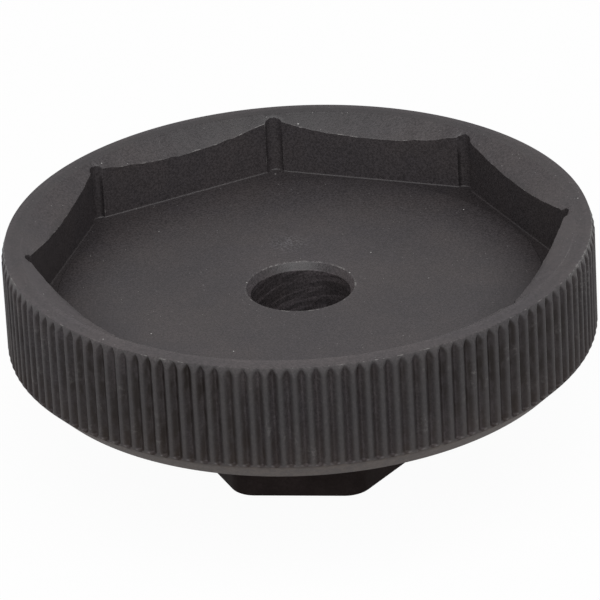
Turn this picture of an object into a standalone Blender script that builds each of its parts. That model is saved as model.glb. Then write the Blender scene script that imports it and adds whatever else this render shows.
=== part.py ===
"""Octagon cap wrench for oil filters: a knurled cap on a hexagon drive hub.

Metres, +Z up. The hub's end face stands on z = 0 and the pocket opens upwards.
The +X axis runs through one corner of the octagon.
"""
import math

import bmesh
import bpy
from mathutils import Matrix

MM = 0.001

# Octagon pocket that grips the filter
POCKET_SIDES = 8
POCKET_ACROSS_FLATS = 64.2 * MM
POCKET_DEPTH = 7.9 * MM
RELIEF_DIAMETER = 2.4 * MM
RELIEF_OVERCUT = 0.3 * MM         # of the relief past the sharp corner of the octagon
LEAD_IN_MARGIN = 0.85 * MM        # from the sharp corners out to the mouth of the cone
LEAD_IN_ANGLE = math.radians(30)  # of the cone's wall below the top face

# Rim and floor of the cap
TOP_LAND = 1.9 * MM
TOP_EDGE_WIDTH = 0.6 * MM         # of the rounded top edge, across the top face
TOP_EDGE_HEIGHT = 1.0 * MM        # of the same, down the rim
UNDERSIDE_CHAMFER = 2.8 * MM
FLOOR_THICKNESS = 8.6 * MM
COUNTERSINK_WIDTH = 0.6 * MM
COUNTERSINK_DEPTH = 1.0 * MM

# Straight knurl round the rim
KNURL_PITCH = 1.83 * MM
KNURL_DEPTH = 0.65 * MM
KNURL_CREST = 0.45 * MM           # width of the flat left on each tooth

# Hexagon hub with a square drive
HEX_SIDES = 6
HEX_ACROSS_FLATS = 27.0 * MM
HEX_LENGTH = 14.8 * MM
HEX_TURN = math.radians(19)       # of one hexagon flat from the +X axis
HEX_CORNER_CHAMFER = 0.7 * MM     # turned on the corners at the end face
DRIVE_SQUARE = 12.8 * MM
DRIVE_CORNER_RADIUS = 0.8 * MM
DRIVE_LEAD_IN = 1.2 * MM          # of the 45 degree countersink at the mouth of the square
SPIGOT_WALL = 2.0 * MM            # left outside the corners of the square
SPIGOT_HEIGHT = 1.7 * MM
SEAT_CLEARANCE = 0.3 * MM         # between the spigot and its counterbore, at the side and the end

# How finely round faces are cut into facets
FACETS_PER_TOOTH = 2
TOP_EDGE_FACETS = 3
ROUND_FACETS = 96
RELIEF_FACETS = 12
DRIVE_CORNER_FACETS = 4

CUT_OVERRUN = 1.0 * MM            # of a cutter past the face that it opens
WELD_DISTANCE = 0.001 * MM
FLAT_ANGLE = math.radians(0.1)     # two faces closer to level than this are one
SHARP_ANGLE = math.radians(25)

# Sizes that follow from the ones above
POCKET_CORNER_RADIUS = POCKET_ACROSS_FLATS / 2 / math.cos(math.pi / POCKET_SIDES)
LEAD_IN_RADIUS = POCKET_CORNER_RADIUS + LEAD_IN_MARGIN
CAP_RADIUS = LEAD_IN_RADIUS + TOP_LAND + TOP_EDGE_WIDTH
CAP_HEIGHT = FLOOR_THICKNESS + POCKET_DEPTH
KNURL_TEETH = round(math.tau * CAP_RADIUS / KNURL_PITCH)
HEX_CORNER_RADIUS = HEX_ACROSS_FLATS / 2 / math.cos(math.pi / HEX_SIDES)
BORE_RADIUS = DRIVE_SQUARE / 2
SPIGOT_RADIUS = DRIVE_SQUARE / math.sqrt(2) + SPIGOT_WALL
COUNTERBORE_RADIUS = SPIGOT_RADIUS + SEAT_CLEARANCE
COUNTERBORE_DEPTH = SPIGOT_HEIGHT + SEAT_CLEARANCE


def clear_scene():
    """Remove every object that the scene starts with."""
    for obj in list(bpy.data.objects):
        bpy.data.objects.remove(obj, do_unlink=True)


def new_collection(name):
    """Return a new collection, linked to the scene."""
    collection = bpy.data.collections.new(name)
    bpy.context.scene.collection.children.link(collection)
    return collection


def blackened_steel(name, colour, roughness):
    """Return a Principled material for steel with a black oxide finish."""
    material = bpy.data.materials.new(name)
    material.use_nodes = True
    shader = material.node_tree.nodes["Principled BSDF"]
    shader.inputs["Base Color"].default_value = (*colour, 1)
    shader.inputs["Roughness"].default_value = roughness
    shader.inputs["Metallic"].default_value = 0.6
    return material


def polar(radius, angle):
    """Return the (x, y) point at that radius and angle."""
    return (radius * math.cos(angle), radius * math.sin(angle))


def arc(centre, radius, start, end, facets):
    """Return the points of an arc, both ends included."""
    points = []
    for step in range(facets + 1):
        x, y = polar(radius, start + (end - start) * step / facets)
        points.append((centre[0] + x, centre[1] + y))
    return points


def turned(name, profile, facets, collection):
    """Return a solid turned about Z, from (radius, height) points that run down its outer side.

    It starts half a facet round from +X, so that no facet edge meets a corner of what it is combined with.
    """
    start = math.pi / facets
    mesh = bpy.data.meshes.new(name)
    points = [(*polar(radius, start), height) for radius, height in profile]
    edges = [(first, first + 1) for first in range(len(points) - 1)]
    mesh.from_pydata(points, edges, [])
    obj = bpy.data.objects.new(name, mesh)
    collection.objects.link(obj)
    screw = obj.modifiers.new("turn", "SCREW")
    screw.steps = facets
    screw.render_steps = facets
    screw.use_merge_vertices = True
    screw.merge_threshold = WELD_DISTANCE
    screw.use_smooth_shade = False
    return obj


def evaluated_mesh(obj):
    """Return a copy of the object's mesh, modifiers applied, with near points welded and flat faces whole."""
    mesh = bpy.data.meshes.new_from_object(obj.evaluated_get(bpy.context.evaluated_depsgraph_get()))
    bm = bmesh.new()
    bm.from_mesh(mesh)
    bmesh.ops.remove_doubles(bm, verts=bm.verts, dist=WELD_DISTANCE)
    bmesh.ops.dissolve_limit(bm, angle_limit=FLAT_ANGLE, verts=bm.verts, edges=bm.edges)
    bmesh.ops.recalc_face_normals(bm, faces=bm.faces)
    bm.to_mesh(mesh)
    bm.free()
    mesh.name = obj.name
    return mesh


def prism(name, outline, bottom, top, collection):
    """Return a solid with a flat closed outline of (x, y) points, from one height up to another."""
    curve = bpy.data.curves.new(name, "CURVE")
    curve.dimensions = "2D"
    curve.fill_mode = "BOTH"
    curve.extrude = (top - bottom) / 2
    spline = curve.splines.new("POLY")
    spline.points.add(len(outline) - 1)
    for point, (x, y) in zip(spline.points, outline):
        point.co = (x, y, 0, 1)
    spline.use_cyclic_u = True
    drawn = bpy.data.objects.new(name, curve)
    collection.objects.link(drawn)
    mesh = evaluated_mesh(drawn)
    bpy.data.objects.remove(drawn, do_unlink=True)
    mesh.transform(Matrix.Translation((0, 0, (top + bottom) / 2)))
    obj = bpy.data.objects.new(name, mesh)
    collection.objects.link(obj)
    return obj


def combine(body, operation, tool):
    """Give the body a Boolean modifier with that tool, which is hidden and goes where the body goes."""
    modifier = body.modifiers.new(tool.name, "BOOLEAN")
    modifier.operation = operation
    modifier.solver = "EXACT"
    modifier.object = tool
    tool.parent = body
    tool.hide_render = True
    tool.display_type = "WIRE"


def settle(body, material):
    """Apply the body's modifiers, shade its round faces smooth and give it its material."""
    mesh = evaluated_mesh(body)
    body.modifiers.clear()
    body.data = mesh
    mesh.shade_smooth()
    mesh.set_sharp_from_angle(angle=SHARP_ANGLE)
    mesh.materials.clear()
    mesh.materials.append(material)


def knurl_outline():
    """Return the section of the rim: each tooth has a flat crest and one V groove after it."""
    crest_half_angle = KNURL_CREST / CAP_RADIUS / 2
    tooth_angle = math.tau / KNURL_TEETH
    outline = []
    for tooth in range(KNURL_TEETH):
        middle = tooth * tooth_angle
        outline.append(polar(CAP_RADIUS, middle - crest_half_angle))
        outline.append(polar(CAP_RADIUS, middle + crest_half_angle))
        outline.append(polar(CAP_RADIUS - KNURL_DEPTH, middle + tooth_angle / 2))
    return outline


def pocket_outline():
    """Return the octagon with a round relief in each corner, which starts and ends on the two flats."""
    relief_radius = RELIEF_DIAMETER / 2
    inset = relief_radius - RELIEF_OVERCUT
    flat_angle = math.pi / POCKET_SIDES
    reach = flat_angle + math.acos(inset * math.cos(flat_angle) / relief_radius)
    outline = []
    for corner in range(POCKET_SIDES):
        middle = math.tau * corner / POCKET_SIDES
        centre = polar(POCKET_CORNER_RADIUS - inset, middle)
        outline += arc(centre, relief_radius, middle - reach, middle + reach, RELIEF_FACETS)
    return outline


def hexagon_outline():
    """Return the hexagon, with one flat square to the +X axis."""
    return [polar(HEX_CORNER_RADIUS, math.pi * (2 * side + 1) / HEX_SIDES) for side in range(HEX_SIDES)]


def drive_outline():
    """Return the square drive with rounded corners, its flats in line with two of the hexagon's."""
    offset = DRIVE_SQUARE / 2 - DRIVE_CORNER_RADIUS
    outline = []
    for quarter in range(4):
        middle = math.pi * (2 * quarter + 1) / 4
        centre = polar(offset * math.sqrt(2), middle)
        start = middle - math.pi / 4
        outline += arc(centre, DRIVE_CORNER_RADIUS, start, start + math.pi / 2, DRIVE_CORNER_FACETS)
    return outline


def make_cap(collection, cutters):
    """Return the knurled cap, with its underside on z = 0.

    The last facet of the round top edge runs on past the crests of the knurl, which are cut after it.
    """
    outside = CAP_RADIUS + CUT_OVERRUN
    underside_run = UNDERSIDE_CHAMFER + CUT_OVERRUN
    top_edge = []
    for across, up in arc((0, 0), 1, math.pi / 2, 0, TOP_EDGE_FACETS):
        top_edge.append((CAP_RADIUS - TOP_EDGE_WIDTH * (1 - across), CAP_HEIGHT - TOP_EDGE_HEIGHT * (1 - up)))
    last_start, last_end = top_edge[-2:]
    slope = (last_start[1] - last_end[1]) / (last_end[0] - last_start[0])
    blank_profile = [
        (0, CAP_HEIGHT),
        *top_edge[:-1],
        (outside, last_end[1] - CUT_OVERRUN * slope),
        (outside, underside_run),
        (outside - underside_run, 0),
        (0, 0),
    ]
    cap = turned("knurled_cap", blank_profile, KNURL_TEETH * FACETS_PER_TOOTH, collection)

    mouth = CAP_HEIGHT + CUT_OVERRUN
    knurl = prism("knurl_section", knurl_outline(), -CUT_OVERRUN, mouth, cutters)
    combine(cap, "INTERSECT", knurl)

    pocket = prism("octagon_cutter", pocket_outline(), FLOOR_THICKNESS, mouth, cutters)
    combine(cap, "DIFFERENCE", pocket)

    rise = math.tan(LEAD_IN_ANGLE)
    inner_radius = POCKET_ACROSS_FLATS / 2 - CUT_OVERRUN
    inner_height = CAP_HEIGHT - (LEAD_IN_RADIUS - inner_radius) * rise
    lead_in_profile = [
        (0, mouth),
        (LEAD_IN_RADIUS + CUT_OVERRUN / rise, mouth),
        (inner_radius, inner_height),
        (0, inner_height),
    ]
    combine(cap, "DIFFERENCE", turned("lead_in_cutter", lead_in_profile, ROUND_FACETS, cutters))

    flare = COUNTERSINK_WIDTH * (1 + CUT_OVERRUN / COUNTERSINK_DEPTH)
    bore_profile = [
        (0, FLOOR_THICKNESS + CUT_OVERRUN),
        (BORE_RADIUS + flare, FLOOR_THICKNESS + CUT_OVERRUN),
        (BORE_RADIUS, FLOOR_THICKNESS - COUNTERSINK_DEPTH),
        (BORE_RADIUS, COUNTERBORE_DEPTH),
        (COUNTERBORE_RADIUS, COUNTERBORE_DEPTH),
        (COUNTERBORE_RADIUS, -CUT_OVERRUN),
        (0, -CUT_OVERRUN),
    ]
    combine(cap, "DIFFERENCE", turned("bore_cutter", bore_profile, ROUND_FACETS, cutters))

    settle(cap, blackened_steel("cap_black_oxide", (0.072, 0.066, 0.064), 0.55))
    return cap


def make_hub(collection, cutters):
    """Return the hexagon hub, with its end face on z = 0 and its spigot on top."""
    hub = prism("hex_drive_hub", hexagon_outline(), 0, HEX_LENGTH, collection)

    outside = HEX_CORNER_RADIUS + CUT_OVERRUN
    chamfer_run = HEX_CORNER_CHAMFER + CUT_OVERRUN
    end_profile = [
        (0, HEX_LENGTH + CUT_OVERRUN),
        (outside, HEX_LENGTH + CUT_OVERRUN),
        (outside, chamfer_run),
        (outside - chamfer_run, 0),
        (0, 0),
    ]
    combine(hub, "INTERSECT", turned("end_chamfer_section", end_profile, ROUND_FACETS, cutters))

    spigot_profile = [
        (0, HEX_LENGTH + SPIGOT_HEIGHT),
        (SPIGOT_RADIUS, HEX_LENGTH + SPIGOT_HEIGHT),
        (SPIGOT_RADIUS, HEX_LENGTH - CUT_OVERRUN),
        (0, HEX_LENGTH - CUT_OVERRUN),
    ]
    combine(hub, "UNION", turned("spigot", spigot_profile, ROUND_FACETS, cutters))

    top = HEX_LENGTH + SPIGOT_HEIGHT + CUT_OVERRUN
    combine(hub, "DIFFERENCE", prism("drive_cutter", drive_outline(), -CUT_OVERRUN, top, cutters))

    mouth_radius = DRIVE_SQUARE / 2 + DRIVE_LEAD_IN
    lead_in_profile = [
        (0, mouth_radius),
        (mouth_radius + CUT_OVERRUN, -CUT_OVERRUN),
        (0, -CUT_OVERRUN),
    ]
    combine(hub, "DIFFERENCE", turned("drive_lead_in_cutter", lead_in_profile, ROUND_FACETS, cutters))

    settle(hub, blackened_steel("hub_black_oxide", (0.040, 0.036, 0.035), 0.5))
    return hub


def main():
    """Build both pieces and stand the cap on the hub's shoulder."""
    clear_scene()
    parts = new_collection("octagon_cap_wrench")
    cutters = new_collection("cutters")
    wrench = bpy.data.objects.new("octagon_cap_wrench", None)
    parts.objects.link(wrench)
    cap = make_cap(parts, cutters)
    cap.parent = wrench
    cap.location.z = HEX_LENGTH
    hub = make_hub(parts, cutters)
    hub.parent = wrench
    hub.rotation_euler.z = HEX_TURN


main()
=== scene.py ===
"""Looks of the octagon cap wrench: its two steel pieces, machined, knurled and blackened.

Metres, +Z up, in the frame of the CAD: the hub's end face is on z = 0, the pocket opens upwards and the
+X axis runs through one corner of the octagon. Both pieces are skins of rings round the Z axis.
"""
import math

import bpy
import numpy as np
from mathutils import Matrix, Vector


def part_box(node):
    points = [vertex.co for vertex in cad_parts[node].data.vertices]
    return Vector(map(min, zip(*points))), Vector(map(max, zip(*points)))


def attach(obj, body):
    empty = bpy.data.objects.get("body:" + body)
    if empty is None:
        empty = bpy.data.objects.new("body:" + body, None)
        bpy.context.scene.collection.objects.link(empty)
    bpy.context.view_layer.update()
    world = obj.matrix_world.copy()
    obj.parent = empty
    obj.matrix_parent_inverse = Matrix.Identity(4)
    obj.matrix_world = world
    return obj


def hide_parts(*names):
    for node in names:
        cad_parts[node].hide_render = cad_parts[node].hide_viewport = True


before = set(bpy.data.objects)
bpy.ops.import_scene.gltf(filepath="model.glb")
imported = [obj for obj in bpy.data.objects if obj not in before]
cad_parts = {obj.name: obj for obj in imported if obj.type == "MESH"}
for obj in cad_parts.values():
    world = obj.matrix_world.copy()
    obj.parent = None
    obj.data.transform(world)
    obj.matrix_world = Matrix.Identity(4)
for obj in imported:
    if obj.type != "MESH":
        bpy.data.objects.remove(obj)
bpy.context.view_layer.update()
cap_low, cap_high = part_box("knurled_cap")
hub_low, hub_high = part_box("hex_drive_hub")

MM = 0.001

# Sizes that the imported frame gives
CAP_RADIUS = cap_high.x
CAP_TOP = cap_high.z
CAP_UNDERSIDE = cap_low.z
SPIGOT_TOP = hub_high.z
HUB_END = hub_low.z

# Octagon pocket
POCKET_SIDES = 8
POCKET_HALF_TURN = math.pi / POCKET_SIDES
POCKET_ACROSS_FLATS = 64.2 * MM
POCKET_CORNER_RADIUS = POCKET_ACROSS_FLATS / 2 / math.cos(POCKET_HALF_TURN)
POCKET_FLOOR = CAP_TOP - 7.9 * MM
RELIEF_RADIUS = 1.2 * MM
RELIEF_OVERCUT = 0.3 * MM           # of a relief past the octagon's corner
LEAD_IN_MARGIN = 0.85 * MM          # of the lead-in's mouth past the octagon's corners
LEAD_IN_ANGLE = math.radians(30)
MOUTH_RADIUS = POCKET_CORNER_RADIUS + LEAD_IN_MARGIN
FLOOR_FILLET = 0.18 * MM
TURNED_FLOOR_RADIUS = 31.4 * MM     # of the disc that the corners of the octagon are milled round
CORNER_STEP = 0.12 * MM             # from that disc down to the milled corners
RAGGED_EDGE = 0.07 * MM             # how unevenly the edges of the octagon are deburred
RAGGED_WIDTH = 2                    # points that one uneven spot of those edges takes in

# Painted shade in the pocket, where 1 is full shade: a side's shade is what the left and the right have on
# top
SHADED_WIDTH = 8.0 * MM              # of the turned disc's edge, where shade is painted
DISC_SHADE = 0.2
DISC_SIDE_SHADE = 0.35
CORNER_SHADE = 0.28
CORNER_RIGHT_SHADE = 0.4
WALL_SIDE_SHADE = 0.3
UNDERCUT_SHADE = 0.35
UNDERCUT_SIDE_SHADE = 0.65
UNDERCUT_START = 0.533              # of the way from a relief's middle to a flat, where its painted shade begins
UNDERCUT_CONTRAST = 3.0             # how fast it then grows towards the flat
UNDERCUT_HEIGHT = 0.6               # of the wall, up which that painted shade is full

# Bore and seat of the hub
BORE_RADIUS = 6.4 * MM
COUNTERSINK_WIDTH = 0.6 * MM
COUNTERSINK_DEPTH = 1.0 * MM
SPIGOT_RADIUS = 11.05 * MM
SEAT_CLEARANCE = 0.3 * MM           # round the spigot
BRAZED_SEAM = 0.06 * MM             # what the braze leaves open above the spigot

# Rim
BEVEL_WIDTH = 0.42 * MM             # of the top edge, across the top face
BEVEL_HEIGHT = 1.3 * MM             # of the same, down the rim, where the grooves end in points
GROOVE_POINT_CURVE = 1.6            # 1 makes those points straight, more makes them fuller
UNDERSIDE_CHAMFER = 2.8 * MM
KNURL_TEETH = 131
KNURL_DEPTH = 0.65 * MM
KNURL_RUN_OUT = 0.38 * MM           # height over which the grooves die out above the underside's chamfer
RUN_OUT_SHARE = 0.2                 # of the grooves' depth, left at that chamfer
KNURL_CREST_SHARE = 0.2             # of the pitch that is left on the crest of a tooth
KNURL_CROWN = 0.05 * MM             # from the middle of a crest down to its sides
KNURL_ROUNDING = 0.15               # 0 is a sharp V groove, 1 a wave
KNURL_UNEVENNESS = 0.08             # spread of the grooves' depths
SHALLOWEST_GROOVE = 0.8             # of the knurl's depth
DEEPEST_GROOVE = 1.15               # of the knurl's depth
RIM_FILM = 0.2                      # of the oil film low on the rim, where 1 is the full film
RIM_FILM_CURVE = 4                  # 1 lets that film grow evenly downwards, more keeps it low
RUN_OUT_FILM = 0.15                 # of the film where the run-out starts
RUN_OUT_FILM_RISE = 0.1             # from there to the chamfer
CREST_WEAR = 0.3                    # of the knurl's crests, where 1 is an edge's full wear
EDGE_BREAK = 0.08 * MM              # on every machined edge, along each of its two faces
BLUNTING = 1 / 4                    # of a break or step, how far its middle stands back from a sharp edge
SLIGHT_BLUNTING = 1 / 8             # the same, between faces that meet at a wide angle

# Hexagon hub
HEX_SIDES = 6
HEX_ACROSS_FLATS = 27.0 * MM
HEX_TURN = math.radians(19)         # of the hexagon and of the drive's square, round the axis
HEX_EDGE_ROUNDING = 3.5 * MM
HEX_END_BREAK = 0.04 * MM
DRIVE_SIDES = 4
DRIVE_SQUARE = 12.8 * MM
DRIVE_CORNER_RADIUS = 0.8 * MM
DRIVE_LEAD_IN = 1.2 * MM

# How finely the skins are cut
CREST_POINTS = 5
GROOVE_POINTS = 11
BEVEL_ROWS = 8
RIM_ROWS = 7
RUN_OUT_ROWS = 4
ROUND_POINTS = 192
RELIEF_POINTS = 17
FLAT_POINTS = 41
FILLET_STEPS = 3
SIDE_POINTS = 61
CORNER_POINTS = 13
SMOOTH_ANGLE = math.radians(50)

# Camera, as it stood for the photograph: its aim is measured from the middle of the cap's top face
CAMERA_LENS = 390.0
CAMERA_SENSOR = 36.0
CAMERA_AZIMUTH = math.radians(-4.08)
CAMERA_ELEVATION = math.radians(27.05)
CAMERA_ROLL = -0.0542               # in radians
CAMERA_DISTANCE = 833.2 * MM
AIM_RIGHT = 0.335 * MM
AIM_DOWN = 8.83 * MM

RANDOM = np.random.default_rng(14)
COS_45 = math.sqrt(0.5)


class Skin:
    """A closed surface of rings round the Z axis, each joined to the next and the last to the first.

    Rings run anticlockwise as seen from above. Down the outside, in along the underside, up the inside
    and out along the top is the order in which faces look outwards. Marks are values kept with points.
    """

    # The third mark is shade painted into the colour: in the pocket's corners, the bore, the hub's seat and
    # at the underside's edge
    MARKS = ("wear", "groove", "recess", "film")

    def __init__(self):
        self.rings = []
        self.marks = {mark: [] for mark in self.MARKS}

    def ring(self, points, **marks):
        """Add a ring of points, with a mark that is one number for the ring or one for each point."""
        self.rings.append(points)
        for mark in self.MARKS:
            self.marks[mark].append(np.broadcast_to(marks.get(mark, 0.0), len(points)))

    def faces(self):
        """Return the faces of every strip between two rings."""
        starts = np.cumsum([0] + [len(ring) for ring in self.rings])
        found = []
        for place, ring in enumerate(self.rings):
            after = (place + 1) % len(self.rings)
            found += strip(ring, self.rings[after], starts[place], starts[after])
        return found

    def make(self, name, material):
        """Return the skin as an object with that material."""
        mesh = bpy.data.meshes.new(name)
        mesh.from_pydata(np.concatenate(self.rings).tolist(), [], self.faces())
        for mark, values in self.marks.items():
            attribute = mesh.attributes.new(mark, "FLOAT", "POINT")
            attribute.data.foreach_set("value", np.concatenate(values).astype(np.float32))
        mesh.shade_smooth()
        mesh.set_sharp_from_angle(angle=SMOOTH_ANGLE)
        mesh.materials.append(material)
        obj = bpy.data.objects.new(name, mesh)
        bpy.context.scene.collection.objects.link(obj)
        weighted = obj.modifiers.new("flat faces stay flat", "WEIGHTED_NORMAL")
        weighted.keep_sharp = True
        return obj


def strip(first, second, first_start, second_start):
    """Return faces between two rings: quads if they have as many points, and triangles if they don't."""
    if len(first) == len(second):
        here = np.arange(len(first))
        after = np.roll(here, -1)
        corners = [first_start + here, second_start + here, second_start + after, first_start + after]
        return np.stack(corners, axis=1).tolist()
    first_angles = turning_angles(first)
    second_angles = turning_angles(second)
    faces = []
    done = 0
    met = 0
    while done < len(first) or met < len(second):
        here = first_start + done % len(first)
        across = second_start + met % len(second)
        if met == len(second) or (done < len(first) and first_angles[done + 1] <= second_angles[met + 1]):
            done += 1
            faces.append((here, across, first_start + done % len(first)))
        else:
            met += 1
            faces.append((here, across, second_start + met % len(second)))
    return faces


def turning_angles(ring):
    """Return the angle of each point of a ring, rising all the way round, and that of the first again."""
    angles = np.unwrap(np.arctan2(ring[:, 1], ring[:, 0]))
    return np.append(angles, angles[0] + math.tau)


def around(radius, height, angles):
    """Return a ring at that radius and height, either of which may change with the angle."""
    radius = np.broadcast_to(radius, angles.shape)
    height = np.broadcast_to(height, angles.shape)
    return np.stack([radius * np.cos(angles), radius * np.sin(angles), height], axis=1)


def raised(outline, height):
    """Return a flat outline of (x, y) points as a ring at that height."""
    return np.column_stack([outline, np.broadcast_to(height, len(outline))])


def directions(angles):
    """Return a unit (x, y) vector for each angle."""
    return np.stack([np.cos(angles), np.sin(angles)], axis=-1)


def inward_normals(outline):
    """Return a unit vector for each point of an anticlockwise outline, square to it and to its left."""
    along = np.roll(outline, -1, axis=0) - np.roll(outline, 1, axis=0)
    along /= np.linalg.norm(along, axis=1, keepdims=True)
    return np.column_stack([-along[:, 1], along[:, 0]])


def smoothed_noise(count, spread, width):
    """Return noise for each point of a ring, averaged over its neighbours."""
    noise = RANDOM.normal(0, spread, count)
    window = np.ones(width) / width
    return np.convolve(np.concatenate([noise, noise[:width - 1]]), window, "valid")


def rounded_polygon(across_flats, sides, turn, rounding):
    """Return an anticlockwise polygon with rounded corners, and a mark of 1 on each corner."""
    half_turn = math.pi / sides
    corner_radius = across_flats / 2 / math.cos(half_turn)
    inset = rounding / math.cos(half_turn)
    reach = corner_radius - inset
    points = []
    marks = []
    for corner in range(sides):
        middle = turn + half_turn * (2 * corner + 1)
        sweep = middle + np.linspace(-half_turn, half_turn, CORNER_POINTS)
        arc = reach * directions(middle) + rounding * directions(sweep)
        after = middle + 2 * half_turn
        arrival = reach * directions(after) + rounding * directions(after - half_turn)
        share = np.linspace(0, 1, SIDE_POINTS + 1, endpoint=False)[1:, None]
        points += [arc, arc[-1] * (1 - share) + arrival * share]
        marks += [np.ones(CORNER_POINTS), np.zeros(SIDE_POINTS)]
    points = np.concatenate(points)
    marks = np.concatenate(marks)
    start = np.argmin(np.abs(np.arctan2(points[:, 1], points[:, 0])))
    return np.roll(points, -start, axis=0), np.roll(marks, -start)


def on_relief(middle, angles):
    """Return points of the relief in the middle of a corner, at angles round the relief's own centre."""
    centre = POCKET_CORNER_RADIUS - RELIEF_RADIUS + RELIEF_OVERCUT
    return centre * directions(middle) + RELIEF_RADIUS * directions(middle + angles)


def blunted(corner, before, after):
    """Return a corner moved half way to the line between the points before and after it."""
    return corner / 2 + (before + after) / 4


def octagon_outline():
    """Return the pocket's outline, with a round relief in each corner, and two marks along it.

    The first is 1 where a relief meets a flat, the second where shade is painted on a relief beside a flat,
    as if it were undercut there.
    """
    centre_depth = (RELIEF_RADIUS - RELIEF_OVERCUT) * math.cos(POCKET_HALF_TURN)
    reach = POCKET_HALF_TURN + math.acos(centre_depth / RELIEF_RADIUS)
    stop = reach - EDGE_BREAK / RELIEF_RADIUS
    sweep = np.linspace(-stop, stop, RELIEF_POINTS)
    undercut = np.clip((np.abs(sweep) / reach - UNDERCUT_START) * UNDERCUT_CONTRAST, 0, 1)
    share = np.linspace(0, 1, FLAT_POINTS)[:, None]
    points = []
    for corner in range(POCKET_SIDES):
        middle = 2 * POCKET_HALF_TURN * corner
        following = middle + 2 * POCKET_HALF_TURN
        arc = on_relief(middle, sweep)
        leave = on_relief(middle, reach)
        arrive = on_relief(following, -reach)
        along = (arrive - leave) / np.linalg.norm(arrive - leave)
        flat = (leave + along * EDGE_BREAK) * (1 - share) + (arrive - along * EDGE_BREAK) * share
        leave_edge = blunted(leave, arc[-1], flat[0])
        arrive_edge = blunted(arrive, flat[-1], on_relief(following, -stop))
        points += [arc, leave_edge[None], flat, arrive_edge[None]]
    edges = np.concatenate([np.zeros(RELIEF_POINTS), np.ones(1), np.zeros(FLAT_POINTS), np.ones(1)])
    undercuts = np.concatenate([undercut, np.zeros(FLAT_POINTS + 2)])
    return np.concatenate(points), np.tile(edges, POCKET_SIDES), np.tile(undercuts, POCKET_SIDES)


def knurl_cut():
    """Return points' angles round the rim, the knurl's cut at each, and its share of the full depth."""
    half_crest = KNURL_CREST_SHARE / 2
    crest = np.linspace(-half_crest, half_crest, CREST_POINTS, endpoint=False)
    groove = np.linspace(half_crest, 1 - half_crest, GROOVE_POINTS, endpoint=False)
    phases = np.concatenate([crest, groove])
    teeth = np.arange(KNURL_TEETH)[:, None]
    angles = ((teeth + phases) * math.tau / KNURL_TEETH).ravel()
    slope = np.clip(1 - np.abs(phases - 0.5) / (0.5 - half_crest), 0, 1)
    wave = slope * slope * (3 - 2 * slope)
    section = slope * (1 - KNURL_ROUNDING) + wave * KNURL_ROUNDING
    depths = RANDOM.normal(1, KNURL_UNEVENNESS, (KNURL_TEETH, 1))
    share = (np.clip(depths, SHALLOWEST_GROOVE, DEEPEST_GROOVE) * section).ravel()
    crown = np.minimum(np.abs(phases) / half_crest, 1) ** 2 * KNURL_CROWN
    cut = KNURL_DEPTH * share + np.tile(crown, KNURL_TEETH) * (1 - share)
    return angles, cut, share


def disc_shade(angles):
    """Return how much shade is painted on the edge of the floor's turned disc: most on the left and the
    right.
    """
    return DISC_SHADE + DISC_SIDE_SHADE * np.cos(angles) ** 2


def corner_shade(angles):
    """Return how much shade is painted on the milled corners of the floor: as the disc, and more on the
    right.
    """
    return np.maximum(CORNER_SHADE + CORNER_RIGHT_SHADE * np.cos(angles), disc_shade(angles))


def add_floor(skin):
    """Add the rings from the rim of the bore over the turned disc down to the milled corners."""
    angles = np.linspace(0, math.tau, ROUND_POINTS, endpoint=False)
    shade_share = disc_shade(angles)
    rim = BORE_RADIUS + COUNTERSINK_WIDTH
    disc = TURNED_FLOOR_RADIUS
    milled = POCKET_FLOOR - CORNER_STEP
    skin.ring(around(rim + EDGE_BREAK, POCKET_FLOOR, angles), wear=1.0)
    skin.ring(around(rim + 4 * EDGE_BREAK, POCKET_FLOOR, angles))
    skin.ring(around(disc - SHADED_WIDTH, POCKET_FLOOR, angles))
    # Painted shade along the turned disc's edge and on the milled corners, most on the left and the right
    skin.ring(around(disc - SHADED_WIDTH / 3, POCKET_FLOOR, angles), recess=shade_share / 2)
    skin.ring(around(disc - EDGE_BREAK, POCKET_FLOOR, angles), recess=shade_share)
    skin.ring(around(disc, POCKET_FLOOR - CORNER_STEP * BLUNTING, angles), wear=0.5, recess=shade_share)
    skin.ring(around(disc + CORNER_STEP / 2, milled, angles), recess=corner_shade(angles))


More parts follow.
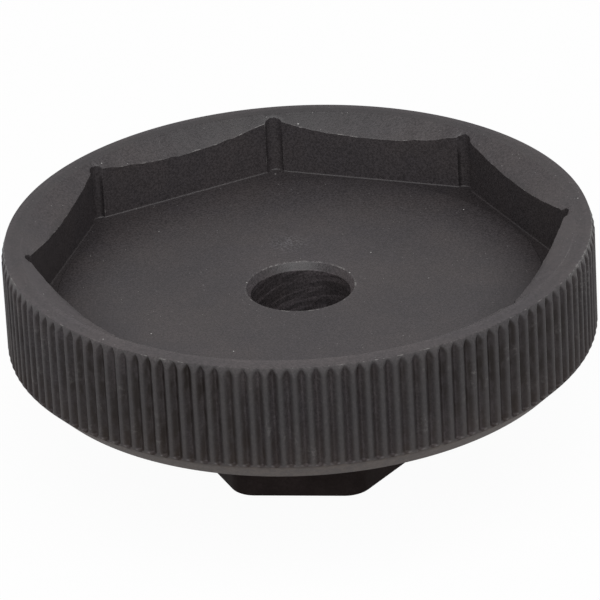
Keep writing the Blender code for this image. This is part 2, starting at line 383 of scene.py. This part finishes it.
def add_octagon(skin):
    """Add the rings from the milled corners up the octagon's wall and the lead-in to the top face."""
    outline, corners, undercuts = octagon_outline()
    normals = inward_normals(outline)
    angles = np.arctan2(outline[:, 1], outline[:, 0])
    # Painted shade on the walls and in the reliefs beside the flats, most on the left and the right
    wall_shade = WALL_SIDE_SHADE * np.cos(angles) ** 2
    undercut_shade = undercuts * (UNDERCUT_SHADE + UNDERCUT_SIDE_SHADE * np.abs(np.cos(angles)))
    relief_shade = np.maximum(wall_shade, undercut_shade)
    floor_shade = corner_shade(angles)
    milled = POCKET_FLOOR - CORNER_STEP
    for share in np.linspace(0, 1, FILLET_STEPS + 1):
        angle = math.pi / 2 * share
        offset = FLOOR_FILLET * (1 - math.sin(angle))
        rise = FLOOR_FILLET * (1 - math.cos(angle))
        shade_share = floor_shade + (relief_shade - floor_shade) * share
        skin.ring(raised(outline + normals * offset, milled + rise), wear=corners * share, recess=shade_share)

    ragged = smoothed_noise(len(outline), RAGGED_EDGE, RAGGED_WIDTH)
    radius = np.linalg.norm(outline, axis=1)
    edge = CAP_TOP - (MOUTH_RADIUS - radius) * math.tan(LEAD_IN_ANGLE) + ragged
    undercut_top = milled * (1 - UNDERCUT_HEIGHT) + edge * UNDERCUT_HEIGHT
    skin.ring(raised(outline, undercut_top), wear=corners, recess=relief_shade)
    skin.ring(raised(outline, edge - EDGE_BREAK), wear=corners, recess=wall_shade)

    run = EDGE_BREAK * math.cos(LEAD_IN_ANGLE)
    rise = EDGE_BREAK * math.sin(LEAD_IN_ANGLE)
    outwards = directions(angles) * run
    skin.ring(raised(outline + outwards * BLUNTING, edge - EDGE_BREAK * BLUNTING), wear=1.0)
    skin.ring(raised(outline + outwards, edge + rise))
    skin.ring(around(MOUTH_RADIUS - run, CAP_TOP - rise, angles))
    skin.ring(around(MOUTH_RADIUS, CAP_TOP - rise * BLUNTING, angles), wear=0.4)
    skin.ring(around(MOUTH_RADIUS + EDGE_BREAK, CAP_TOP, angles))


def add_bevel(skin, angles, cut, share):
    """Add the rings from the top face down the bevel, into which the grooves' pointed ends are cut."""
    edge = CAP_RADIUS - BEVEL_WIDTH
    skin.ring(around(edge - 4 * EDGE_BREAK, CAP_TOP, angles))
    skin.ring(around(edge - EDGE_BREAK, CAP_TOP, angles), wear=0.2)
    skin.ring(around(edge, CAP_TOP - EDGE_BREAK * BLUNTING, angles), wear=0.8)
    for drop in np.linspace(EDGE_BREAK, BEVEL_HEIGHT, BEVEL_ROWS):
        missing = (1 - (drop - EDGE_BREAK) / (BEVEL_HEIGHT - EDGE_BREAK)) ** GROOVE_POINT_CURVE
        bevel = edge + BEVEL_WIDTH * drop / BEVEL_HEIGHT
        point = np.maximum(cut - KNURL_DEPTH * missing, 0)
        height = CAP_TOP - drop
        skin.ring(around(bevel - point, height, angles), groove=share - missing, wear=missing * 0.4)


def add_knurl(skin, angles, cut, share):
    """Add the rings from the bevel down the grooves and their run-out to the underside's chamfer."""
    crest_wear = (1 - np.clip(share, 0, 1)) * CREST_WEAR
    top = CAP_TOP - BEVEL_HEIGHT
    bottom = CAP_UNDERSIDE + UNDERSIDE_CHAMFER - cut * RUN_OUT_SHARE
    start = bottom + KNURL_RUN_OUT
    for along in np.linspace(0, 1, RIM_ROWS)[1:]:
        height = top + (start - top) * along
        film = RIM_FILM * along ** RIM_FILM_CURVE
        skin.ring(around(CAP_RADIUS - cut, height, angles), groove=share, wear=crest_wear, film=film)
    for along in np.linspace(0, 1, RUN_OUT_ROWS + 1)[1:]:
        filled = along ** 2 * (1 - RUN_OUT_SHARE)
        wall = CAP_RADIUS - cut * (1 - filled)
        height = start + (bottom + EDGE_BREAK - start) * along
        film = RUN_OUT_FILM + RUN_OUT_FILM_RISE * along
        skin.ring(around(wall, height, angles), groove=share - filled / 2, wear=crest_wear, film=film)


def add_chamfer(skin, angles, cut, share):
    """Add the rings from the grooves' shallow ends over the chamfer to the underside."""
    crest = 1 - np.clip(share, 0, 1)
    wall = CAP_RADIUS - cut * RUN_OUT_SHARE
    top = CAP_UNDERSIDE + UNDERSIDE_CHAMFER - cut * RUN_OUT_SHARE
    foot = CAP_RADIUS - UNDERSIDE_CHAMFER
    reach = EDGE_BREAK * COS_45
    slight = EDGE_BREAK * SLIGHT_BLUNTING
    skin.ring(around(wall - slight, top - slight, angles), wear=crest / 2, groove=share / 4, film=0.45)
    skin.ring(around(wall - reach, top - reach, angles), film=1.0)
    skin.ring(around(foot + reach, CAP_UNDERSIDE + reach, angles), film=1.0)
    skin.ring(around(foot, CAP_UNDERSIDE + slight, angles), wear=0.4, film=1.0)
    # Painted shade at the underside's edge
    skin.ring(around(foot - EDGE_BREAK, CAP_UNDERSIDE, angles), recess=0.5)


def add_bore(skin):
    """Add the rings from the underside up the hub's seat and the bore to the countersink."""
    angles = np.linspace(0, math.tau, ROUND_POINTS, endpoint=False)
    seat_radius = SPIGOT_RADIUS + SEAT_CLEARANCE
    seat_top = SPIGOT_TOP + BRAZED_SEAM
    # Painted shade in the hub's seat and down the bore
    skin.ring(around(seat_radius, CAP_UNDERSIDE, angles), recess=0.5)
    skin.ring(around(seat_radius, seat_top, angles), recess=1.0)
    skin.ring(around(BORE_RADIUS, seat_top, angles), recess=0.4)

    throat = POCKET_FLOOR - COUNTERSINK_DEPTH
    rim = BORE_RADIUS + COUNTERSINK_WIDTH
    tilt = math.atan2(COUNTERSINK_DEPTH, COUNTERSINK_WIDTH)
    run = EDGE_BREAK * math.cos(tilt)
    rise = EDGE_BREAK * math.sin(tilt)
    skin.ring(around(BORE_RADIUS, throat - EDGE_BREAK, angles), recess=0.4)
    skin.ring(around(BORE_RADIUS + run * SLIGHT_BLUNTING, throat, angles), wear=0.3, recess=0.5)
    skin.ring(around(BORE_RADIUS + run, throat + rise, angles))
    skin.ring(around(rim - run, POCKET_FLOOR - rise, angles))
    skin.ring(around(rim, POCKET_FLOOR - EDGE_BREAK * SLIGHT_BLUNTING, angles), wear=1.0)


def make_cap(material):
    """Return the knurled cap with its octagon pocket."""
    skin = Skin()
    add_floor(skin)
    add_octagon(skin)
    knurl = knurl_cut()
    add_bevel(skin, *knurl)
    add_knurl(skin, *knurl)
    add_chamfer(skin, *knurl)
    add_bore(skin)
    return skin.make("blackened_cap", material)


def make_hub(material):
    """Return the hexagon hub with its square drive."""
    skin = Skin()
    drive, _ = rounded_polygon(DRIVE_SQUARE, DRIVE_SIDES, HEX_TURN, DRIVE_CORNER_RADIUS)
    round_angles = np.linspace(0, math.tau, ROUND_POINTS, endpoint=False)
    skin.ring(raised(drive, SPIGOT_TOP))
    skin.ring(around(SPIGOT_RADIUS, SPIGOT_TOP, round_angles))
    skin.ring(around(SPIGOT_RADIUS, CAP_UNDERSIDE, round_angles))

    hexagon, corners = rounded_polygon(HEX_ACROSS_FLATS, HEX_SIDES, HEX_TURN, HEX_EDGE_ROUNDING)
    end_radius = np.linalg.norm(hexagon, axis=1) - HEX_END_BREAK
    angles = np.arctan2(hexagon[:, 1], hexagon[:, 0])
    skin.ring(raised(hexagon, CAP_UNDERSIDE))
    skin.ring(raised(hexagon, HUB_END + HEX_END_BREAK + EDGE_BREAK), wear=corners / 2)
    skin.ring(raised(hexagon, HUB_END + HEX_END_BREAK), wear=1.0)
    skin.ring(around(end_radius, HUB_END, angles), wear=0.6)
    skin.ring(around(end_radius - EDGE_BREAK, HUB_END, angles))

    drive_radius = np.linalg.norm(drive, axis=1)
    drive_angles = np.arctan2(drive[:, 1], drive[:, 0])
    lead_in = np.maximum(DRIVE_SQUARE / 2 + DRIVE_LEAD_IN - drive_radius, 2 * EDGE_BREAK)
    skin.ring(around(drive_radius + lead_in, HUB_END, drive_angles), wear=0.6)
    skin.ring(raised(drive, HUB_END + lead_in), wear=0.6)
    return skin.make("blackened_hub", material)


class Link:
    """A socket of a finish, with arithmetic that adds Math nodes."""

    def __init__(self, finish, socket):
        self.finish = finish
        self.socket = socket

    def math(self, operation, first, second):
        """Return a Math node's result."""
        return self.finish.node("ShaderNodeMath", {"operation": operation}, {0: first, 1: second})

    def __add__(self, other):
        return self.math("ADD", self, other)

    def __sub__(self, other):
        return self.math("SUBTRACT", self, other)

    def __rsub__(self, other):
        return self.math("SUBTRACT", other, self)

    def __mul__(self, other):
        return self.math("MULTIPLY", self, other)

    __radd__ = __add__
    __rmul__ = __mul__

    def at_most(self, limit):
        """Return the smaller of the two."""
        return self.math("MINIMUM", self, limit)

    def at_least(self, limit):
        """Return the larger of the two."""
        return self.math("MAXIMUM", self, limit)


# Places of the sockets that a Mix node uses for colours, whose names it repeats
MIX_SHARE = 0
MIX_FIRST = 6
MIX_SECOND = 7
MIX_RESULT = 2


class Finish:
    """A material, built node by node."""

    def __init__(self, name):
        self.material = bpy.data.materials.new(name)
        self.material.use_nodes = True
        self.tree = self.material.node_tree
        self.tree.nodes.clear()

    def node(self, kind, settings=None, sockets=None, output=0):
        """Add a node with settings and values or links for its sockets, and return an output, if any."""
        node = self.tree.nodes.new(kind)
        for name, value in (settings or {}).items():
            setattr(node, name, value)
        for name, value in (sockets or {}).items():
            if isinstance(value, Link):
                self.tree.links.new(value.socket, node.inputs[name])
            else:
                node.inputs[name].default_value = value
        return Link(self, node.outputs[output]) if node.outputs else None

    def noise(self, place, scale, detail=2.0, roughness=0.5):
        """Return noise from 0 to 1, mostly near 0.5."""
        sockets = {"Vector": place, "Scale": scale, "Detail": detail, "Roughness": roughness}
        return self.node("ShaderNodeTexNoise", None, sockets)

    def ramp(self, value, start, end):
        """Return 0 before start and 1 after end, with a soft step between."""
        sockets = {"Value": value, "From Min": start, "From Max": end}
        return self.node("ShaderNodeMapRange", {"interpolation_type": "SMOOTHSTEP"}, sockets)

    def specks(self, place, scale, size, share):
        """Return 1 on specks, as large as that in cells, in that share of the cells, as seen from above."""
        level = {"voronoi_dimensions": "2D"}
        sockets = {"Vector": place, "Scale": scale}
        distance = self.node("ShaderNodeTexVoronoi", level, sockets, output="Distance")
        colour = self.node("ShaderNodeTexVoronoi", level, sockets, output="Color")
        chance = self.node("ShaderNodeSeparateColor", None, {"Color": colour})
        chosen = self.ramp(chance, 1 - share, 1 - share + SPECK_SOFTNESS)
        return (1 - self.ramp(distance, size / 2, size)) * chosen

    def near(self, place, spot, reach):
        """Return 1 at a spot, falling to 0 at that distance from it."""
        settings = {"operation": "DISTANCE"}
        distance = self.node("ShaderNodeVectorMath", settings, {0: place, 1: spot}, output="Value")
        return 1 - self.ramp(distance, 0.0, reach)

    def mix(self, share, first, second):
        """Return a colour between two."""
        sockets = {MIX_SHARE: share, MIX_FIRST: first, MIX_SECOND: second}
        return self.node("ShaderNodeMix", {"data_type": "RGBA"}, sockets, output=MIX_RESULT)

    def scaled(self, vector, amount):
        """Return a vector or colour, times a number."""
        return self.node("ShaderNodeVectorMath", {"operation": "SCALE"}, {0: vector, "Scale": amount})

    def stretched(self, vector, factors):
        """Return a vector with each axis times its own factor."""
        return self.node("ShaderNodeVectorMath", {"operation": "MULTIPLY"}, {0: vector, 1: factors})

    def length(self, vector):
        """Return the length of a vector."""
        return self.node("ShaderNodeVectorMath", {"operation": "LENGTH"}, {0: vector}, output="Value")

    def along(self, axis, vector):
        """Return how far a vector goes along an axis."""
        return self.node("ShaderNodeSeparateXYZ", None, {"Vector": vector}, output=axis)

    def mark(self, name):
        """Return one of the skin's marks."""
        return self.node("ShaderNodeAttribute", {"attribute_name": name}, output="Fac")

    def place(self):
        """Return the place on the piece, in millimetres."""
        return self.scaled(self.node("ShaderNodeTexCoord", output="Object"), 1 / MM)

    def bump(self, height, strength, depth):
        """Return normals that follow a height, whose depth is in metres."""
        sockets = {"Strength": strength, "Distance": depth, "Height": height}
        return self.node("ShaderNodeBump", None, sockets)

    def surface(self, shader):
        """Make a shader the material's surface."""
        self.node("ShaderNodeOutputMaterial", None, {"Surface": shader})


# Colours of the finishes
COOL_OXIDE = (0.034, 0.0295, 0.0320, 1)
WARM_OXIDE = (0.036, 0.0305, 0.0315, 1)
HUB_OXIDE = (0.049, 0.038, 0.0375, 1)
GRIME_AND_SHADE = (0.011, 0.008, 0.007, 1)
OIL_FILM = (0.082, 0.065, 0.057, 1)
WORN_STEEL = (0.24, 0.23, 0.225, 1)
DUST = (0.42, 0.41, 0.40, 1)
SCUFF = (0.13, 0.13, 0.14, 1)
WORN_METALLIC = 0.7

# Scales of their patterns, in cells per millimetre
MOTTLE_SCALE = 0.11
GRAIN_SCALE = 3.6
TURNING_MARK_SCALES = (0.15, 0.15, 1.6)
TURNING_MARK_TILT = 0.3             # in radians
STREAK_SCALES = (1.1, 1.1, 0.45)
BLOTCH_SCALE = 0.07
PATCH_SCALE = 0.22
RUB_SCALE = 2.0
FLECK_SCALE = 0.8
LARGE_SPECK_SCALE = 0.3
SMALL_SPECK_SCALE = 1.3
SPECK_SOFTNESS = 0.02               # of the chance at which a cell has a speck
HUB_MOTTLE_SCALE = 0.18
HUB_GRAIN_SCALE = 3.2
HUB_RUB_SCALE = 0.9

# Depths of the grain
CAP_GRAIN_DEPTH = 0.02 * MM
HUB_GRAIN_DEPTH = 0.03 * MM

# Spots of the cap, in millimetres: a scuff, a rubbed place on the rim, paler patches and paler grooves
SCUFF_PLACE = (-0.3, 12.5, POCKET_FLOOR / MM)
SCUFF_REACH = 3.5
HAZE_PLACE = (1.0, 8.0, POCKET_FLOOR / MM)
HAZE_REACH = 18.0
PALE_GROOVES_PLACE = (3.3, -38.0, 23.0)
PALE_GROOVES_REACH = 20.0
RUBBED_RIM_PLACE = (35.3, -14.0, CAP_TOP / MM)
RUBBED_RIM_REACH = 8.0
PALE_LIP_PLACE = (-33.0, -19.0, CAP_TOP / MM)
PALE_LIP_REACH = 20.0


class CapFinish(Finish):
    """Black oxide, whose tint each step changes from what the step before it left.

    Lengths are in millimetres. Front goes from 1 at the front of the cap to -1 at its back, and side from
    1 at the left and the right to 0 at the front and the back.
    """

    def __init__(self):
        super().__init__("cap_black_oxide")
        self.spot = self.place()
        self.radius = self.length(self.stretched(self.spot, (1, 1, 0)))
        self.upward = self.along("Z", self.node("ShaderNodeNewGeometry", output="Normal"))
        self.level = self.ramp(self.upward, 0.2, 0.6)
        self.front = self.along("Y", self.spot) * (-MM / CAP_RADIUS)
        self.side = 1 - self.front * self.front
        self.recess = self.mark("recess")
        self.grain = self.ramp(self.noise(self.spot, GRAIN_SCALE, roughness=0.6), 0.3, 0.7)
        mottle = self.noise(self.spot, MOTTLE_SCALE, detail=4.0, roughness=0.6)
        self.tint = self.mix(self.ramp(mottle, 0.3, 0.7), COOL_OXIDE, WARM_OXIDE)
        self.shade(0.52 + self.grain * 0.6 + mottle * 0.4)
        # Painted shade wherever the skin marks it
        self.shade(1 - self.recess * 0.65)

    def shade(self, factor):
        """Make the tint darker or paler by a factor."""
        self.tint = self.scaled(self.tint, factor)

    def cover(self, share, colour):
        """Cover a share of the tint with a colour."""
        self.tint = self.mix(share, self.tint, colour)

    def band(self, start, end):
        """Return 0 inside the first of two radii and 1 outside the second, with a soft step between."""
        return self.ramp(self.radius, start, end)

    def mark_bore(self):
        """Give the bore slanting turning marks, and paint light on the countersink, paler towards the front
        and darker at the back.
        """
        bore = BORE_RADIUS / MM
        rim = bore + COUNTERSINK_WIDTH / MM
        settings = {"rotation_type": "Y_AXIS"}
        sockets = {"Vector": self.spot, "Angle": TURNING_MARK_TILT}
        tilted = self.node("ShaderNodeVectorRotate", settings, sockets)
        lines = self.noise(self.stretched(tilted, TURNING_MARK_SCALES), scale=1.0, detail=3.0)
        bored = 1 - self.band(bore + 0.02, bore + 0.12)
        self.shade(1 + bored * (self.ramp(lines, 0.42, 0.62) * 0.75 - 0.1))
        # Painted light on the countersink: paler at the front, darker at the back
        countersunk = 1 - bored - self.band(rim - 0.1, rim)
        self.shade(1 + countersunk * (0.65 + self.front * (0.95 * CAP_RADIUS / BORE_RADIUS)))

    def light_top(self):
        """Paint light on level faces, paler towards the front, with painted highlights on the lip and the
        top land's outer edge, and paler patches.
        """
        flat = POCKET_ACROSS_FLATS / 2 / MM
        mouth = MOUTH_RADIUS / MM
        edge = CAP_RADIUS / MM
        ledge = self.band(flat + 0.2, flat + 1.0) * self.level
        lip = self.band(mouth - 0.2, mouth + 0.2) * (1 - self.band(mouth + 0.4, mouth + 0.8))
        outer = self.ramp(self.radius - self.front * 0.25, edge - 1.45, edge - 0.85)
        pale = self.near(self.spot, PALE_LIP_PLACE, PALE_LIP_REACH)
        # Painted light: the top land paler towards the front, with painted highlights on the lip and the
        # outer edge
        painted_ledge_light = 0.03 + self.front * 0.06
        painted_ledge_light = painted_ledge_light + lip * (0.07 + self.front * 0.05 + pale * 0.12)
        painted_ledge_light = painted_ledge_light + outer * (0.18 - self.front * 0.16 + pale * 0.06)
        haze = self.near(self.spot, HAZE_PLACE, HAZE_REACH) * 0.24
        self.shade(1 + self.level * (0.04 + self.front * 0.23) + ledge * painted_ledge_light + haze + pale * 0.1)

        # Painted highlight on the lead-in at the front, painted shade on it at the back
        sloping = 1 - self.ramp(self.upward, 0.9, 0.98)
        lead_in = ledge * sloping * (1 - self.band(mouth + 0.2, mouth + 0.8))
        behind = self.ramp(self.front * -1, 0.75, 0.97)
        self.shade(1 + lead_in * (0.22 + self.front * 0.12 + pale * 0.12 - behind * 0.36))

    def paint_shade_on_rim(self):
        """Paint shade on the rim, with painted light at its left and right and at the grooves' upper ends
        there, and return where.
        """
        edge = CAP_RADIUS / MM
        top = CAP_TOP / MM
        # Painted shade: the rim darker, most at the back of its level faces, less at the left and right
        rim = self.band(edge - 0.75, edge - 0.1) * (1 - self.level * (0.7 - self.front * 0.3))
        bright_ends = self.ramp(self.along("Z", self.spot), top - 4.0, top - 1.2) * self.side
        bright_sides = self.side * self.side * self.side
        self.shade(1 - rim * (0.42 - bright_ends * 0.3 - bright_sides * 0.24))
        return rim

    def soil_and_shade_rim(self):
        """Put streaky grime and painted shade in the grooves and oil on the rim's foot, and return how dull
        both make it.
        """
        groove = self.mark("groove")
        narrow = self.ramp(groove, -0.1, 0.55)
        wide = self.ramp(groove, -0.05, 0.25)
        sunk = narrow + (wide - narrow) * self.side
        streaks = self.noise(self.stretched(self.spot, STREAK_SCALES), scale=1.0, detail=3.0)
        streaks = self.ramp(streaks, 0.42, 0.6)
        blotches = self.ramp(self.noise(self.spot, BLOTCH_SCALE), 0.42, 0.58)
        paler_grooves = self.near(self.spot, PALE_GROOVES_PLACE, PALE_GROOVES_REACH)
        # Grime and painted shade in the grooves: wider on the flanks at the left and right, paler at the
        # front
        soiled_and_shaded = sunk * (0.05 + blotches * 0.4 + streaks * 0.6)
        self.cover(soiled_and_shaded * (1 - paler_grooves * 0.6) * (1 - self.side * 0.3), GRIME_AND_SHADE)
        film = self.mark("film")
        self.cover(film * (0.5 + streaks * 0.3), OIL_FILM)
        return sunk * 0.65 + film * 0.6

    def wear_edges(self):
        """Bare the steel in patches and flecks along the edges, and return where."""
        wear = self.mark("wear")
        patches = self.ramp(self.noise(self.spot, PATCH_SCALE, detail=3.0, roughness=0.6), 0.54, 0.7)
        rubbed = self.ramp(self.noise(self.spot, RUB_SCALE, detail=4.0, roughness=0.7), 0.48, 0.62)
        bared = self.near(self.spot, RUBBED_RIM_PLACE, RUBBED_RIM_REACH)
        bared = bared + self.near(self.spot, SCUFF_PLACE, 3 * SCUFF_REACH)
        flecks = self.ramp(self.noise(self.spot, FLECK_SCALE, roughness=0.6), 0.57, 0.64)
        flecks = flecks * self.ramp(wear, 0.35, 0.55)
        worn = wear * rubbed * (0.1 + patches * 0.5 + bared * 1.5) + flecks * 0.6
        worn = worn.at_most(1.0)
        self.cover(worn, WORN_STEEL)
        return worn

    def add_scuff_and_dust(self):
        """Add the scuff behind the bore, and specks of dust on what looks upwards."""
        scuff = self.near(self.spot, SCUFF_PLACE, SCUFF_REACH) * self.ramp(self.grain, 0.4, 0.9)
        self.cover(scuff * 0.35, SCUFF)
        dusty = self.ramp(self.upward, 0.6, 0.9)
        large = self.specks(self.spot, LARGE_SPECK_SCALE, size=0.035, share=0.05)
        small = self.specks(self.spot, SMALL_SPECK_SCALE, size=0.07, share=0.04)
        self.cover(large * dusty * 0.8, DUST)
        self.cover(small * dusty * 0.6, DUST)


def cap_black_oxide():
    """Return the cap's finish: satin oxide and worn edges, dull where shade is painted and where grime or
    oil has gathered.
    """
    finish = CapFinish()
    finish.mark_bore()
    finish.light_top()
    rim = finish.paint_shade_on_rim()
    soiled_and_shaded = finish.soil_and_shade_rim()
    worn = finish.wear_edges()
    finish.add_scuff_and_dust()
    satin = finish.node("ShaderNodeBsdfPrincipled", None, {
        "Base Color": finish.tint,
        "Roughness": 0.46 + (finish.grain - 0.5) * 0.15 + rim * 0.15 - worn * 0.12,
        "Metallic": worn * WORN_METALLIC,
        "Normal": finish.bump(finish.grain, strength=0.5, depth=CAP_GRAIN_DEPTH),
    })
    dull = finish.node("ShaderNodeBsdfPrincipled", None, {
        "Base Color": finish.tint,
        "Roughness": 1.0,
        "Specular IOR Level": 0.0,
    })
    # Painted shade and grime also make the surface dull
    share = finish.recess.at_least(soiled_and_shaded)
    finish.surface(finish.node("ShaderNodeMixShader", None, {0: share, 1: satin, 2: dull}))
    return finish.material


def hub_black_oxide():
    """Return the hub's finish: black oxide with grain and worn edges, painted darker than the cap's as
    shade.
    """
    finish = Finish("hub_black_oxide")
    place = finish.place()
    mottle = finish.noise(place, HUB_MOTTLE_SCALE, detail=4.0, roughness=0.6)
    grain = finish.noise(place, HUB_GRAIN_SCALE, detail=3.0, roughness=0.6)
    # Painted shade: the hub's tint darker than the cap's, for the shade under the cap
    tint = finish.scaled(finish.mix(mottle, HUB_OXIDE, GRIME_AND_SHADE), 0.6 + grain * 0.8)
    rubbed = finish.ramp(finish.noise(place, HUB_RUB_SCALE, detail=4.0, roughness=0.7), 0.55, 0.8)
    worn = finish.mark("wear") * rubbed * 0.1
    finish.surface(finish.node("ShaderNodeBsdfPrincipled", None, {
        "Base Color": finish.mix(worn, tint, WORN_STEEL),
        "Roughness": 0.5 + grain * 0.15,
        "Metallic": worn * WORN_METALLIC,
        "Specular IOR Level": 0.02,
        "Normal": finish.bump(grain, strength=0.25, depth=HUB_GRAIN_DEPTH),
    }))
    return finish.material


# Floor, sky and lamp
FLOOR_SIZE = 8.0
FLOOR_DROP = 0.02 * MM              # below the hub's end, so that the two faces don't meet
FLOOR_WHITE = (0.62, 0.62, 0.62, 1)
WHITE = (1.0, 1.0, 1.0, 1)
FLOOR_GLOW = 0.96
SKY_LIGHT = 0.5
LAMP_PLACE = (0.0, -0.6, 0.95)
LAMP_SIZE = 1.4
LAMP_POWER = 17.5


def seen_directly(finish):
    """Return 1 for rays that show the background: from the camera, a reflection or through glass."""
    camera = finish.node("ShaderNodeLightPath", output="Is Camera Ray")
    glossy = finish.node("ShaderNodeLightPath", output="Is Glossy Ray")
    transmitted = finish.node("ShaderNodeLightPath", output="Is Transmission Ray")
    return camera + glossy + transmitted


def make_floor():
    """Make the pale floor, which looks white and keeps a soft shadow."""
    half = FLOOR_SIZE / 2
    mesh = bpy.data.meshes.new("floor")
    corners = [(-half, -half, 0), (half, -half, 0), (half, half, 0), (-half, half, 0)]
    mesh.from_pydata(corners, [], [(0, 1, 2, 3)])
    floor = bpy.data.objects.new("floor", mesh)
    floor.location.z = HUB_END - FLOOR_DROP
    bpy.context.scene.collection.objects.link(floor)
    finish = Finish("pale_floor")
    paper = finish.node("ShaderNodeBsdfDiffuse", None, {"Color": FLOOR_WHITE})
    glow = finish.node("ShaderNodeEmission", None, {"Color": WHITE, "Strength": 1.0})
    share = seen_directly(finish) * FLOOR_GLOW
    finish.surface(finish.node("ShaderNodeMixShader", None, {0: share, 1: paper, 2: glow}))
    mesh.materials.append(finish.material)


def light_scene():
    """Light the wrench from a white sky, with one large soft lamp overhead."""
    world = bpy.data.worlds.new("white_sky")
    world.use_nodes = True
    bpy.context.scene.world = world
    background = world.node_tree.nodes["Background"]
    background.inputs["Color"].default_value = WHITE
    background.inputs["Strength"].default_value = SKY_LIGHT
    lamp = bpy.data.lights.new("overhead_softbox", "AREA")
    lamp.shape = "SQUARE"
    lamp.size = LAMP_SIZE
    lamp.energy = LAMP_POWER
    softbox = bpy.data.objects.new("overhead_softbox", lamp)
    softbox.location = LAMP_PLACE
    softbox.rotation_euler = (-Vector(LAMP_PLACE)).to_track_quat("-Z", "Y").to_euler()
    bpy.context.scene.collection.objects.link(softbox)


def place_camera():
    """Set the camera where the photograph was taken from."""
    turn = Matrix.Rotation(CAMERA_AZIMUTH, 3, "Z")
    right = turn @ Vector((1, 0, 0))
    down = turn @ Vector((0, -math.sin(CAMERA_ELEVATION), -math.cos(CAMERA_ELEVATION)))
    forward = turn @ Vector((0, math.cos(CAMERA_ELEVATION), -math.sin(CAMERA_ELEVATION)))
    rolled_right = right * math.cos(CAMERA_ROLL) - down * math.sin(CAMERA_ROLL)
    rolled_down = right * math.sin(CAMERA_ROLL) + down * math.cos(CAMERA_ROLL)
    aim = Vector((0, 0, CAP_TOP)) + rolled_right * AIM_RIGHT + rolled_down * AIM_DOWN
    data = bpy.data.cameras.new("camera")
    data.lens = CAMERA_LENS
    data.sensor_width = CAMERA_SENSOR
    camera = bpy.data.objects.new("camera", data)
    axes = Matrix((rolled_right, -rolled_down, -forward)).transposed().to_4x4()
    camera.matrix_world = Matrix.Translation(aim - forward * CAMERA_DISTANCE) @ axes
    bpy.context.scene.collection.objects.link(camera)
    bpy.context.scene.camera = camera


bpy.context.scene.view_settings.view_transform = "Standard"
make_floor()
light_scene()
place_camera()

cap = make_cap(cap_black_oxide())
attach(cap, "root")
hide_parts("knurled_cap")

hub = make_hub(hub_black_oxide())
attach(hub, "root")
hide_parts("hex_drive_hub")
